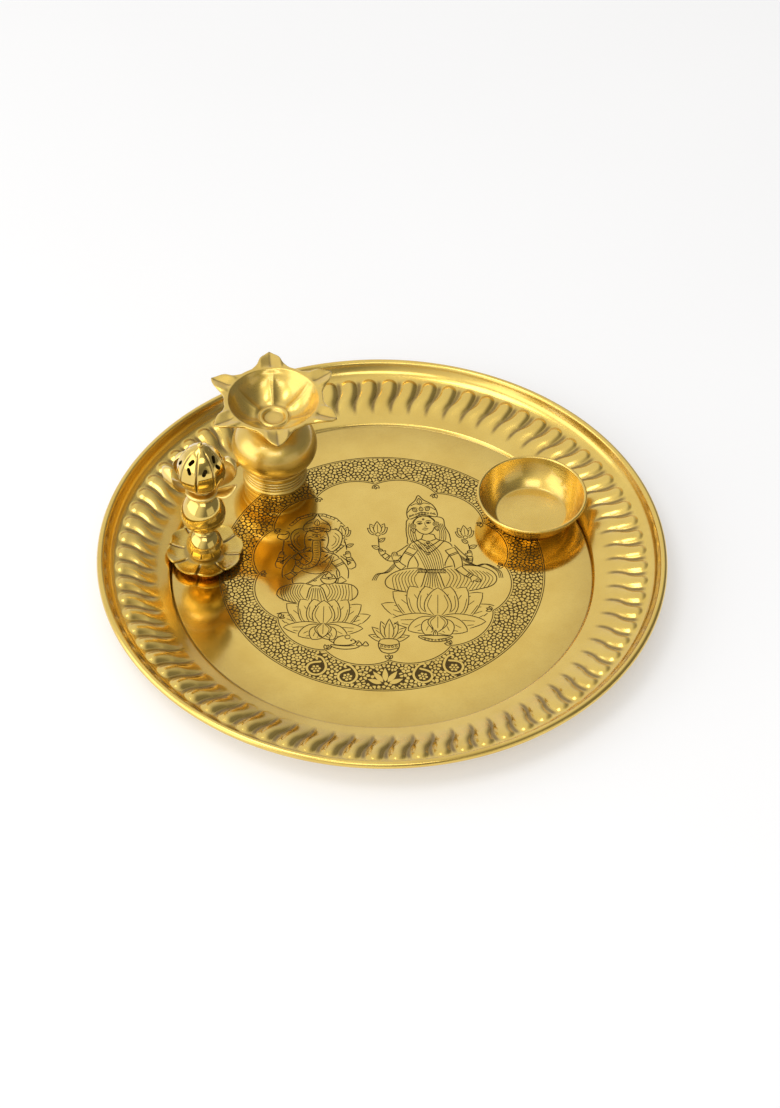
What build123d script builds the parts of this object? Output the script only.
from build123d import *
import math
import os

# Puja thali: a fluted brass tray that carries an oil lamp, an incense stand and a small bowl.
# Millimetres, +Z up, origin at the centre of the tray's underside.

# Tray: floor, step, fluted band, steep wall and an edge rolled round a wire
plate_radius = 127.0
rim_height = 15.0
sheet = 0.9
rim_band_width = 32.8
step_rise = 1.3
step_angle = 60.0
step_cove_radius = 0.7
step_shoulder_radius = 1.6
wall_height = 4.6
wall_angle = 72.0
wall_fillet_share = 0.91
bead_radius = 1.7
curl_angle = 280.0
wire_clearance = 0.15

# Flutes: rounded S-shaped lobes pressed up out of the band
flute_width = 7.2
flute_height = 1.4
flute_gap = 1.8
flute_lean = 28.0
flute_inner_margin = 4.2
flute_outer_margin = 3.2

# Katori: a flared bowl
katori_rim_radius = 25.2
katori_height = 13.4
katori_wall = 1.0
katori_floor_radius = 16.0
katori_floor_fillet = 1.6
katori_knee_radius = 20.4
katori_knee_height = 5.4
katori_knee_fillet = 20.0
katori_lip_radius = 0.8
katori_edge_gap = 1.2
katori_bearing = 28.8

# Oil lamp: foot, pot, threaded stud and star cup
lamp_edge_gap = 0.7
lamp_bearing = 130.1
lamp_foot_height = 11.2
lamp_foot_radius = 14.9
lamp_foot_waist = 14.1
lamp_foot_flange = 1.6
lamp_foot_bore = 12.2
lamp_foot_web = 1.6
lamp_ledge_radius = 15.4
lamp_ledge_height = 1.5
lamp_groove_count = 3
lamp_groove_radius = 0.45
lamp_pot_radius = 19.6
lamp_pot_wall = 1.4
lamp_pot_slenderness = 1.17347
lamp_pot_belly_share = 0.3913
lamp_neck_height = 1.5
lamp_neck_radius = 8.5
lamp_plug_depth = 8.0
lamp_stud_radius = 3.0
lamp_stud_depth = 7.0
lamp_stud_grip = 1.4
lamp_cup_boss_radius = 8.0
lamp_cup_floor = 2.2
lamp_cup_height = 13.9
lamp_cup_wall = 1.5
lamp_bowl_radius = 20.6
lamp_brim_radius = 22.5
lamp_brim_thickness = 1.3
lamp_tip_radius = 31.7
lamp_tip_rise = 1.0
lamp_tip_count = 6
lamp_tip_bearing = 36.0
lamp_tip_half_width = 5.8
lamp_tip_bulge = 1.5
lamp_ridge_width = 3.4
lamp_ridge_height = 0.9
lamp_ridge_root = 0.6
lamp_ring_outer = 6.85
lamp_ring_inner = 5.0
lamp_ring_height = 1.5

# Incense stand: lotus dish, turned stem, lotus collar and pierced bud
incense_edge_gap = 4.5
incense_bearing = 174.6
petal_count = 8
incense_dish_radius = 17.3
incense_dish_notch = 15.2
incense_dish_notch_bearing = -100.0
incense_dish_height = 4.3
incense_dish_edge = 1.1
incense_dish_floor = 2.8
incense_dish_floor_radius = 9.6
incense_foot_radius = 9.5
incense_foot_width = 2.0
incense_foot_recess = 0.4
incense_foot_rise = 1.5
incense_groove_radius = 0.7
incense_screw_radius = 2.0
incense_screw_head_radius = 4.0
incense_screw_head_depth = 2.0
incense_screw_slot = 1.0
incense_screw_reach = 8.0
lower_bell_height = 12.5
lower_bell_radius = 8.35
lower_bell_foot_radius = 7.0
lower_bell_belly = 3.6
lower_bell_top_radius = 4.0
neck_ring_height = 3.0
neck_ring_radius = 4.6
neck_ring_waist = 3.7
upper_bell_height = 21.0
upper_bell_radius = 10.0
upper_bell_foot_radius = 4.2
upper_bell_belly = 8.4
upper_bell_neck_radius = 5.0
upper_bell_collar_radius = 5.6
upper_bell_collar_height = 1.6
upper_bell_groove_radius = 0.35
lotus_ring_height = 2.2
lotus_ring_radius = 6.4
lotus_sheet = 0.9
lotus_bend_radius = 12.6
lotus_bend_height = 5.6
lotus_tip_radius = 17.8
lotus_tip_height = 12.6
lotus_bend_fillet = 6.0
lotus_notch_radius = 8.6
lotus_petal_middle = 13.4
lotus_petal_spread = 13.5
lotus_leaf_count = 5
lotus_leaf_first = -8.0
head_radius = 11.0
head_slenderness = 2.5
head_seat_radius = 4.6
head_seat_height = 1.5
head_belly_share = 0.4873
head_crown_radius = 1.2
head_knob_radius = 1.35
head_knob_rise = 2.1
head_wall = 1.4
head_plug_height = 6.0
head_stud_grip = 4.5
head_stud_depth = 7.0
crease_bearing = -98.0
crease_width = 0.7
crease_depth = 0.6
slot_length = 3.2
slot_width = 1.7
slot_low_elevation = 29.0
slot_high_elevation = 51.0
slot_tilt = 30.0

# Running clearance of a stud or screw in its hole, on the radius
thread_clearance = 0.05


def polar(radius, bearing):
    """Point at a radius and a bearing in degrees, in the XY plane."""
    angle = math.radians(bearing)
    return Vector(radius * math.cos(angle), radius * math.sin(angle))


def turned(section):
    """Solid of revolution about Z, from a section with x as radius and y as height."""
    return revolve(Plane.XZ * section, Axis.Z)


def block(inner, outer, bottom, top):
    """Section of a plain ring between two radii and two heights."""
    return Pos((inner + outer) / 2, (bottom + top) / 2) * Rectangle(outer - inner, top - bottom)


def sheet_section(points, radii, thickness):
    """Section of a bent sheet that follows the points, with its thickness on the right-hand side."""
    runs = [(b - a).normalized() for a, b in zip(points, points[1:])]
    normals = [Vector(run.Y, -run.X) for run in runs]
    back = [points[0] + normals[0] * thickness]
    for corner, before, after in zip(points[1:], normals, normals[1:]):
        back.append(corner + (before + after) * (thickness / (1 + before.dot(after))))
    back.append(points[-1] + normals[-1] * thickness)
    back_radii = []
    for radius, before, after in zip(radii, runs, runs[1:]):
        turns_left = before.cross(after).Z > 0
        back_radii.append(radius + thickness if turns_left else max(radius - thickness, 0))
    face_line = FilletPolyline(*points, radius=radii)
    back_line = FilletPolyline(*back, radius=back_radii)
    ends = [Line(points[0], back[0]), Line(points[-1], back[-1])]
    return make_face(face_line.edges() + back_line.edges() + [end.edge() for end in ends])


def belly_radius(widest, end_radius, rise):
    """Radius of the arc that leaves a widest point upright and ends at another radius and height."""
    inset = widest - end_radius
    return (inset * inset + rise * rise) / (2 * inset)


def bellied_section(widest, belly, lower, upper):
    """Section of a turned bulb with its widest point at the belly height.

    lower and upper are the (radius, height) points where its two arcs end.
    """
    below = TangentArc((widest, belly), lower, tangent=(0, -1))
    above = TangentArc((widest, belly), upper, tangent=(0, 1))
    axis_side = Polyline(upper, (0, upper[1]), (0, lower[1]), lower)
    return make_face(below.edges() + above.edges() + axis_side.edges())


def bellied_core(widest, belly, lower, upper, inset, bottom, top):
    """Section inside a bellied one, an inset away from its arcs, between two heights."""
    below_radius = belly_radius(widest, lower[0], belly - lower[1])
    above_radius = belly_radius(widest, upper[0], upper[1] - belly)
    below = Pos(widest - below_radius, belly) * Circle(below_radius - inset)
    above = Pos(widest - above_radius, belly) * Circle(above_radius - inset)
    return (below & block(0, widest, bottom, belly)) + (above & block(0, widest, belly, top))


def lens_section(width, height, root):
    """Rounded ridge section: its width at the surface, its height above and its root below."""
    radius = (width * width / 4 + height * height) / (2 * height)
    half_root = math.sqrt(radius * radius - (radius - height - root) ** 2)
    crown = ThreePointArc((-half_root, -root), (0, height), (half_root, -root))
    return make_face(crown.edges() + Line((half_root, -root), (-half_root, -root)).edges())


# Corners of the tray's upper face, as (radius, height)
flat_radius = plate_radius - rim_band_width
wall_slope = math.radians(wall_angle)
step_corner = Vector(flat_radius, sheet)
band_start = step_corner + Vector(step_rise / math.tan(math.radians(step_angle)), step_rise)
bead_start = Vector(
    plate_radius - bead_radius * (1 + math.sin(wall_slope)),
    rim_height - bead_radius * (1 - math.cos(wall_slope)),
)
band_end = bead_start - Vector(wall_height / math.tan(wall_slope), wall_height)
bead_centre = bead_start + Vector(math.sin(wall_slope), -math.cos(wall_slope)) * bead_radius
band_slope = math.atan2(band_end.Y - band_start.Y, band_end.X - band_start.X)

# The bend between band and wall takes up a share of the wall's length
wall_length = wall_height / math.sin(wall_slope)
wall_fillet_radius = wall_fillet_share * wall_length / math.tan((wall_slope - band_slope) / 2)

# Where the loose pieces stand on the floor
katori_place = polar(flat_radius - katori_edge_gap - katori_floor_radius, katori_bearing)
lamp_place = polar(flat_radius - lamp_edge_gap - lamp_ledge_radius, lamp_bearing)
incense_place = polar(flat_radius - incense_edge_gap - incense_foot_radius, incense_bearing)

# Proportions of the pot
lamp_pot_height = lamp_pot_radius * lamp_pot_slenderness
lamp_pot_belly = lamp_pot_height * lamp_pot_belly_share
lamp_pot_shoulder = lamp_pot_height - lamp_neck_height

# Heights of the lamp's pieces
lamp_pot_bottom = sheet + lamp_foot_height
lamp_cup_bottom = lamp_pot_bottom + lamp_pot_height

# Proportions of the bud
head_height = head_radius * head_slenderness
head_belly = head_height * head_belly_share

# Heights of the incense stand's pieces
lower_bell_bottom = sheet + incense_dish_floor
neck_ring_bottom = lower_bell_bottom + lower_bell_height
upper_bell_bottom = neck_ring_bottom + neck_ring_height
lotus_bottom = upper_bell_bottom + upper_bell_height
head_bottom = lotus_bottom + lotus_ring_height


def flute():
    """One S-shaped lobe on the band at bearing 0, with rounded ends."""
    inner_radius = band_start.X + flute_inner_margin
    outer_radius = band_end.X - flute_outer_margin
    middle_radius = (inner_radius + outer_radius) / 2
    middle_height = band_start.Y + (middle_radius - band_start.X) * math.tan(band_slope)
    half_run = ((outer_radius - inner_radius) / math.cos(band_slope) - flute_width) / 2
    lean = math.radians(flute_lean)
    sideways = half_run * math.tan(lean / 2)
    along = (math.cos(lean), -math.sin(lean))
    spine = TangentArc((0, 0), (half_run, -sideways), tangent=along)
    spine += TangentArc((0, 0), (-half_run, sideways), tangent=(-along[0], -along[1]))
    root = sheet / 2
    section = lens_section(flute_width, flute_height, root)
    inner_end = Vector(-half_run, sideways)
    outer_end = Vector(half_run, -sideways)
    start = Plane(origin=inner_end, x_dir=(0, 1, 0), z_dir=(1, 0, 0))
    lobe = sweep(start * section, path=spine)
    half = section & block(0, flute_width, -root, flute_height)
    for end, first in ((inner_end, 90), (outer_end, -90)):
        upright = Pos(end.X, end.Y) * Rot(0, 0, first) * (Plane.XZ * half)
        lobe += revolve(upright, Axis((end.X, end.Y, 0), (0, 0, 1)), 180)
    slope_plane = Plane(
        origin=(middle_radius, 0, middle_height),
        x_dir=(math.cos(band_slope), 0, math.sin(band_slope)),
        z_dir=(-math.sin(band_slope), 0, math.cos(band_slope)),
    )
    return slope_plane * lobe


def flute_count():
    """How many lobes of the wanted width and gap go round the middle of the band."""
    inner_radius = band_start.X + flute_inner_margin
    outer_radius = band_end.X - flute_outer_margin
    return int(math.pi * (inner_radius + outer_radius) / (flute_width + flute_gap))


def ring_of(shape, count, first=0.0):
    """Copies of a shape, evenly spaced round Z."""
    return [Rot(0, 0, first + 360 / count * index) * shape for index in range(count)]


def thali_plate():
    corners = [Vector(0, sheet), step_corner, band_start, band_end, bead_start]
    radii = (step_cove_radius, step_shoulder_radius, wall_fillet_radius)
    section = sheet_section(corners, radii, sheet) + bead_curl()
    count = flute_count()
    pitch = 360 / count
    wedge = Rot(0, 0, -1.5 * pitch) * revolve(Plane.XZ * section, Axis.Z, 3 * pitch)
    lobe = flute()
    wedge += [Rot(0, 0, pitch * step) * lobe for step in (-1, 0, 1)]
    slice_section = block(0, plate_radius + sheet, 0, rim_height + sheet)
    sector = wedge & Rot(0, 0, -pitch / 2) * revolve(Plane.XZ * slice_section, Axis.Z, pitch)
    skin = [face for face in sector.faces() if not is_upright_plane(face)]
    return Solid(Shell([copy for face in skin for copy in ring_of(face, count)])).clean()


def is_upright_plane(face):
    """True for the two flat sides where one pitch of the tray meets the next."""
    return face.geom_type == GeomType.PLANE and abs(face.normal_at().Z) < 0.5


def bead_curl():
    """Section of the edge, rolled outward round the wire until it nearly meets the wall."""
    curl_start = 90 + wall_angle
    centre = (bead_centre.X, bead_centre.Y)
    outside = CenterArc(centre, bead_radius, curl_start, -curl_angle)
    inside = CenterArc(centre, bead_radius - sheet, curl_start, -curl_angle)
    ends = [Line(outside @ 0, inside @ 0), Line(outside @ 1, inside @ 1)]
    return make_face(outside.edges() + inside.edges() + [end.edge() for end in ends])


def rim_wire():
    tube = bead_radius - sheet - wire_clearance
    return Pos(0, 0, bead_centre.Y) * Torus(bead_centre.X, tube)


def katori_bowl():
    lip_centre = Vector(katori_rim_radius - katori_lip_radius, katori_height - katori_lip_radius)
    corners = [
        Vector(0, katori_wall),
        Vector(katori_floor_radius, katori_wall),
        Vector(katori_knee_radius, katori_knee_height),
        lip_centre + Vector(-katori_lip_radius, 0),
    ]
    section = sheet_section(corners, (katori_floor_fillet, katori_knee_fillet), katori_wall)
    section += Pos(lip_centre.X, lip_centre.Y) * Circle(katori_lip_radius)
    return turned(section)


def lamp_foot():
    ledge_bottom = lamp_foot_height - lamp_ledge_height
    waist_top = ledge_bottom - (lamp_ledge_radius - lamp_foot_waist)
    waist_bottom = lamp_foot_flange + lamp_foot_radius - lamp_foot_waist
    outline = Polyline(
        (lamp_foot_bore, 0),
        (lamp_foot_radius, 0),
        (lamp_foot_radius, lamp_foot_flange),
        (lamp_foot_waist, waist_bottom),
        (lamp_foot_waist, waist_top),
        (lamp_ledge_radius, ledge_bottom),
        (lamp_ledge_radius, lamp_foot_height),
        (0, lamp_foot_height),
        (0, lamp_foot_height - lamp_foot_web),
        (lamp_foot_bore, lamp_foot_height - lamp_foot_web),
        close=True,
    )
    section = make_face(outline)
    pitch = (waist_top - waist_bottom) / lamp_groove_count
    for index in range(lamp_groove_count):
        groove_height = waist_bottom + pitch * (index + 0.5)
        section -= Pos(lamp_foot_waist, groove_height) * Circle(lamp_groove_radius)
    return turned(section)


def lamp_pot():
    lower = (lamp_ledge_radius - lamp_ledge_height, 0)
    upper = (lamp_neck_radius, lamp_pot_shoulder)
    section = bellied_section(lamp_pot_radius, lamp_pot_belly, lower, upper)
    section += block(0, lamp_neck_radius, lamp_pot_shoulder, lamp_pot_height)
    plug_bottom = lamp_pot_height - lamp_plug_depth
    section -= bellied_core(
        lamp_pot_radius, lamp_pot_belly, lower, upper, lamp_pot_wall, lamp_pot_wall, plug_bottom
    )
    section -= block(0, lamp_stud_radius + thread_clearance, plug_bottom, lamp_pot_height)
    return turned(section)


def lamp_stud():
    length = lamp_stud_depth + lamp_stud_grip
    return turned(block(0, lamp_stud_radius, -lamp_stud_depth, length - lamp_stud_depth))


def bowl_sphere_radius():
    """Radius of the sphere that the cup's bowl is a cap of."""
    depth = lamp_cup_height - lamp_cup_floor
    return (lamp_bowl_radius ** 2 + depth ** 2) / (2 * depth)


def star_outline():
    """Plan of the cup: a round brim with pointed tips."""
    root_radius = lamp_bowl_radius
    root_half = lamp_tip_half_width * (lamp_tip_radius - root_radius) / (lamp_tip_radius - lamp_brim_radius)
    tip = (lamp_tip_radius, 0)
    left = SagittaArc((root_radius, root_half), tip, lamp_tip_bulge)
    right = SagittaArc(tip, (root_radius, -root_half), lamp_tip_bulge)
    base = Line((root_radius, -root_half), (root_radius, root_half))
    leaf = make_face(left.edges() + right.edges() + base.edges())
    outline = Sketch() + Circle(lamp_brim_radius)
    return outline + ring_of(leaf, lamp_tip_count, lamp_tip_bearing)


def lamp_cup():
    sphere = bowl_sphere_radius()
    centre_height = lamp_cup_floor + sphere
    reach = lamp_tip_radius + lamp_cup_wall
    bowl = Pos(0, centre_height) * (Circle(sphere + lamp_cup_wall) - Circle(sphere))
    section = bowl & block(0, reach, 0, lamp_cup_height)
    brim_slope = lamp_tip_rise / (lamp_tip_radius - lamp_bowl_radius)
    brim_end = lamp_cup_height + brim_slope * (reach - lamp_bowl_radius)
    brim = Polyline(
        (lamp_bowl_radius, lamp_cup_height),
        (reach, brim_end),
        (reach, brim_end - lamp_brim_thickness),
        (lamp_bowl_radius, lamp_cup_height - lamp_brim_thickness),
        close=True,
    )
    section += make_face(brim)
    section += block(0, lamp_cup_boss_radius, 0, lamp_cup_floor)
    section += block(
        lamp_ring_inner, lamp_ring_outer, lamp_cup_floor / 2, lamp_cup_floor + lamp_ring_height
    )
    section -= block(0, lamp_stud_radius + thread_clearance, 0, lamp_stud_grip + thread_clearance)
    cup = turned(section) & extrude(star_outline(), brim_end, dir=(0, 0, 1))
    return cup + ring_of(cup_ridge(sphere, centre_height), lamp_tip_count, lamp_tip_bearing)


def cup_ridge(sphere, centre_height):
    """Rounded ridge up the inside of the bowl, from the centre ring to the brim."""
    ring_middle = (lamp_ring_inner + lamp_ring_outer) / 2
    first = -90 + math.degrees(math.asin(ring_middle / sphere))
    last = -90 + math.degrees(math.asin(lamp_bowl_radius / sphere))
    path = Plane.XZ * CenterArc((0, centre_height), sphere, first, last - first)
    start = Plane(origin=path @ 0, x_dir=(0, 1, 0), z_dir=path % 0)
    return sweep(start * lens_section(lamp_ridge_width, lamp_ridge_height, lamp_ridge_root), path=path)


def petal_outline(notch_radius, tip_radius, bearing):
    """Plan of a dish with rounded petals and a notch between each two."""
    half = 180 / petal_count
    notch = polar(notch_radius, bearing)
    crown = polar(tip_radius, bearing + half)
    edge = ThreePointArc(notch, crown, polar(notch_radius, bearing + 2 * half))
    return make_face([copy.edge() for copy in ring_of(edge, petal_count)])


def incense_base():
    foot_inner = incense_foot_radius - incense_foot_width
    rim_bottom = incense_dish_height - incense_dish_edge
    outline = Polyline(
        (0, incense_foot_recess),
        (foot_inner, incense_foot_recess),
        (foot_inner, 0),
        (incense_foot_radius, 0),
        (incense_foot_radius + incense_dish_edge, incense_foot_rise),
        (incense_dish_radius, rim_bottom),
        (incense_dish_radius, incense_dish_height),
        (incense_dish_floor_radius, incense_dish_floor),
        (0, incense_dish_floor),
        close=True,
    )
    dish = turned(make_face(outline))
    petals = petal_outline(incense_dish_notch, incense_dish_radius, incense_dish_notch_bearing)
    dish &= extrude(petals, incense_dish_height, dir=(0, 0, 1))
    rise = incense_dish_height - incense_dish_floor
    run = incense_dish_radius - incense_dish_floor_radius
    tilt = math.degrees(math.atan2(rise, run))
    groove_start = Pos(incense_dish_floor_radius, 0, incense_dish_floor)
    rod = Cylinder(incense_groove_radius, run * 2, align=(Align.CENTER, Align.CENTER, Align.MIN))
    groove = groove_start * Rot(0, 90 - tilt, 0) * rod
    dish -= ring_of(groove, petal_count, incense_dish_notch_bearing)
    return dish - Pos(0, 0, incense_foot_recess) * screw_shape(thread_clearance)


def screw_shape(clearance):
    """Countersunk head and shank, with its head's face at height 0, grown by a clearance."""
    head = incense_screw_head_radius + clearance
    shank = incense_screw_radius + clearance
    end = screw_length()
    outline = Polyline(
        (0, 0),
        (head, 0),
        (shank, incense_screw_head_depth),
        (shank, end + clearance),
        (0, end + clearance),
        close=True,
    )
    return turned(make_face(outline))


def screw_length():
    """Length of the base screw, from its head's face to its end in the upper bell."""
    return upper_bell_bottom - sheet - incense_foot_recess + incense_screw_reach


def incense_base_screw():
    slot_depth = incense_screw_head_depth / 2
    slot = Box(
        2 * incense_screw_head_radius,
        incense_screw_slot,
        slot_depth,
        align=(Align.CENTER, Align.CENTER, Align.MIN),
    )
    return screw_shape(0) - slot


def incense_lower_bell():
    lower = (lower_bell_foot_radius, 0)
    upper = (lower_bell_top_radius, lower_bell_height)
    section = bellied_section(lower_bell_radius, lower_bell_belly, lower, upper)
    section -= block(0, incense_screw_radius + thread_clearance, 0, lower_bell_height)
    return turned(section)


def incense_neck_ring():
    middle = neck_ring_height / 2
    waist = ThreePointArc(
        (neck_ring_radius, neck_ring_height), (neck_ring_waist, middle), (neck_ring_radius, 0)
    )
    hole = incense_screw_radius + thread_clearance
    rest = Polyline(
        (neck_ring_radius, 0), (hole, 0), (hole, neck_ring_height), (neck_ring_radius, neck_ring_height)
    )
    return turned(make_face(waist.edges() + rest.edges()))


def incense_upper_bell():
    shoulder = upper_bell_height - upper_bell_collar_height
    lower = (upper_bell_foot_radius, 0)
    upper = (upper_bell_neck_radius, shoulder)
    section = bellied_section(upper_bell_radius, upper_bell_belly, lower, upper)
    section += block(0, upper_bell_collar_radius, shoulder, upper_bell_height)
    section -= Pos(upper_bell_radius, upper_bell_belly) * Circle(upper_bell_groove_radius)
    section -= block(0, incense_screw_radius + thread_clearance, 0, incense_screw_reach + thread_clearance)
    stud_end = upper_bell_height - head_stud_depth - thread_clearance
    section -= block(0, incense_screw_radius + thread_clearance, stud_end, upper_bell_height)
    return turned(section)


def incense_lotus_collar():
    corners = [
        Vector(lotus_ring_radius - lotus_sheet, lotus_ring_height / 2),
        Vector(lotus_bend_radius, lotus_bend_height),
        Vector(lotus_tip_radius, lotus_tip_height),
    ]
    petals = turned(sheet_section(corners, [lotus_bend_fillet], lotus_sheet))
    half = 180 / petal_count
    notch_left = polar(lotus_notch_radius, half)
    notch_right = polar(lotus_notch_radius, -half)
    tip = polar(lotus_tip_radius, 0)
    left = ThreePointArc(notch_left, polar(lotus_petal_middle, lotus_petal_spread), tip)
    right = ThreePointArc(tip, polar(lotus_petal_middle, -lotus_petal_spread), notch_right)
    base = Line(notch_right, notch_left)
    leaf = make_face(left.edges() + right.edges() + base.edges())
    outline = Sketch() + Circle(lotus_notch_radius)
    outline += ring_of(leaf, petal_count, lotus_leaf_first)[:lotus_leaf_count]
    petals &= extrude(outline, lotus_tip_height + lotus_sheet, dir=(0, 0, 1))
    hole = incense_screw_radius + thread_clearance
    return petals + turned(block(hole, lotus_ring_radius, 0, lotus_ring_height))


def incense_head_stud():
    return turned(block(0, incense_screw_radius, -head_stud_depth, lotus_ring_height + head_stud_grip))


def head_arcs():
    """Widest radius, belly height and the two end points of the bud's arcs."""
    lower = (head_seat_radius, head_seat_height)
    upper = (head_crown_radius, head_height - head_knob_rise)
    return head_radius, head_belly, lower, upper


def incense_head():
    widest, belly, lower, upper = head_arcs()
    section = bellied_section(widest, belly, lower, upper)
    section += block(0, head_seat_radius, 0, head_seat_height)
    knob = Pos(0, head_height - head_knob_radius) * Circle(head_knob_radius)
    section += knob & block(0, head_knob_radius, upper[1], head_height)
    ceiling = upper[1] - head_wall
    section -= bellied_core(widest, belly, lower, upper, head_wall, head_plug_height, ceiling)
    section -= block(0, incense_screw_radius + thread_clearance, 0, head_stud_grip + thread_clearance)
    bud = turned(section)
    return bud - ring_of(head_crease(), petal_count, crease_bearing) - head_slots()


def head_crease():
    """Thin cutter for one crease down the bud, at bearing 0."""
    widest, belly, lower, upper = head_arcs()
    bottom = lower[1] + head_wall
    top = upper[1] - head_wall
    core = bellied_core(widest, belly, lower, upper, crease_depth, bottom, top)
    strip = block(head_seat_radius, widest + head_wall, bottom, top) - core
    return extrude(Plane.XZ * strip, crease_width / 2, both=True)


def head_slots():
    """Cutters for the stick slots: one low in each facet and one high in every other facet."""
    facet = 360 / petal_count
    cutters = []
    for index in range(petal_count):
        bearing = crease_bearing + facet * (index + 0.5)
        tilt = slot_tilt if index % 2 else -slot_tilt
        cutters.append(head_slot(bearing, slot_low_elevation, tilt))
        if index % 2:
            cutters.append(head_slot(bearing, slot_high_elevation, tilt))
    return cutters


def head_slot(bearing, elevation, tilt):
    """Cutter for one slot, pointing out from the middle of the bud."""
    level = polar(math.cos(math.radians(elevation)), bearing)
    out = Vector(level.X, level.Y, math.sin(math.radians(elevation)))
    side = polar(1, bearing + 90)
    slot_plane = Plane(origin=Vector(0, 0, head_belly) + out * (head_radius / 2), x_dir=side, z_dir=out)
    return extrude(slot_plane * Rot(0, 0, 90 + tilt) * SlotOverall(slot_length, slot_width), head_radius)


def standing(place, height, shape):
    """A piece moved to its place on the tray, at a height."""
    return Pos(place.X, place.Y, height) * shape


pieces = {
    "thali_plate": thali_plate(),
    "rim_wire": rim_wire(),
    "katori_bowl": standing(katori_place, sheet, katori_bowl()),
    "lamp_foot": standing(lamp_place, sheet, lamp_foot()),
    "lamp_pot": standing(lamp_place, lamp_pot_bottom, lamp_pot()),
    "lamp_stud": standing(lamp_place, lamp_cup_bottom, lamp_stud()),
    "lamp_cup": standing(lamp_place, lamp_cup_bottom, lamp_cup()),
    "incense_base": standing(incense_place, sheet, incense_base()),
    "incense_base_screw": standing(incense_place, sheet + incense_foot_recess, incense_base_screw()),
    "incense_lower_bell": standing(incense_place, lower_bell_bottom, incense_lower_bell()),
    "incense_neck_ring": standing(incense_place, neck_ring_bottom, incense_neck_ring()),
    "incense_upper_bell": standing(incense_place, upper_bell_bottom, incense_upper_bell()),
    "incense_lotus_collar": standing(incense_place, lotus_bottom, incense_lotus_collar()),
    "incense_head_stud": standing(incense_place, lotus_bottom, incense_head_stud()),
    "incense_head": standing(incense_place, head_bottom, incense_head()),
}

os.makedirs("parts", exist_ok=True)
for name, piece in pieces.items():
    export_step(piece, os.path.join("parts", name + ".step"))
